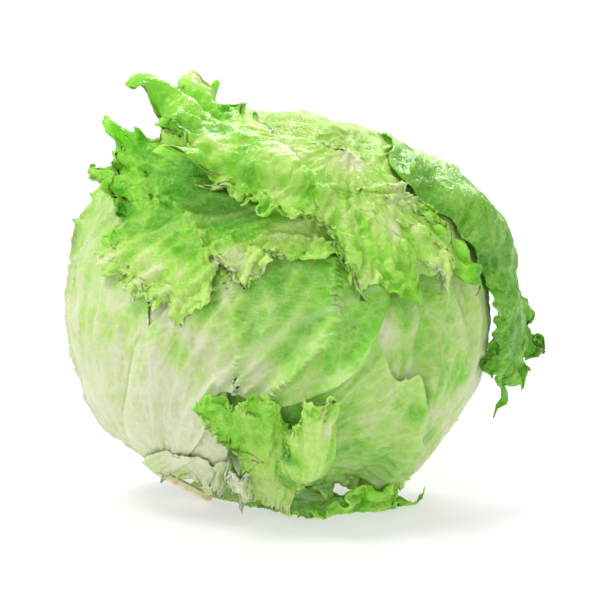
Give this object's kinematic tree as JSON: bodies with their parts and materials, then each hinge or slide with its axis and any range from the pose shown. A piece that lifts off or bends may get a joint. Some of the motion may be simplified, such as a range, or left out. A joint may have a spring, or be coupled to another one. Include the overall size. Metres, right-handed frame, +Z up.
{
  "type": "head of lettuce",
  "caption": "Round crisphead lettuce with a tight pale heart and loose green wrapper leaves with ruffled margins, standing on its base",
  "frame": {"origin": "on the surface that the head rests on, below the middle of its outline", "axes": "+Z up, +Y away from the front, +X to the right seen from the front"},
  "size_m": [0.1878, 0.169, 0.1651],
  "materials": {
    "heart": "crisp waxy leaf",
    "stem": "cut, moist",
    "back_left_leaf": "crisp waxy leaf",
    "back_right_leaf": "crisp waxy leaf",
    "right_inner_leaf": "crisp waxy leaf",
    "lower_left_leaf": "crisp waxy leaf",
    "left_leaf": "crisp waxy leaf",
    "right_leaf": "crisp waxy leaf",
    "front_leaf": "crisp waxy leaf",
    "lower_right_leaf": "crisp waxy leaf",
    "collar_leaf": "crisp waxy leaf",
    "right_wrapper_leaf": "crisp waxy leaf",
    "top_wrapper_leaf": "crisp waxy leaf",
    "crown_leaf": "crisp waxy leaf",
    "back_wrapper_leaf": "crisp waxy leaf",
    "curled_leaf": "crisp waxy leaf",
    "folded_leaf": "crisp waxy leaf",
    "torn_leaf": "crisp waxy leaf",
    "torn_rib": "crisp waxy leaf",
    "floor_leaf": "crisp waxy leaf"
  },
  "bodies": {
    "root": {"heart": "heart", "stem": "stem", "back_left_leaf": "back_left_leaf", "back_right_leaf": "back_right_leaf", "right_inner_leaf": "right_inner_leaf", "lower_left_leaf": "lower_left_leaf", "left_leaf": "left_leaf", "right_leaf": "right_leaf", "front_leaf": "front_leaf", "lower_right_leaf": "lower_right_leaf", "collar_leaf": "collar_leaf", "right_wrapper_leaf": "right_wrapper_leaf", "top_wrapper_leaf": "top_wrapper_leaf", "crown_leaf": "crown_leaf", "back_wrapper_leaf": "back_wrapper_leaf", "curled_leaf": "curled_leaf", "folded_leaf": "folded_leaf", "torn_leaf": "torn_leaf", "torn_rib": "torn_rib", "floor_leaf": "floor_leaf"}
  },
  "joints": []
}
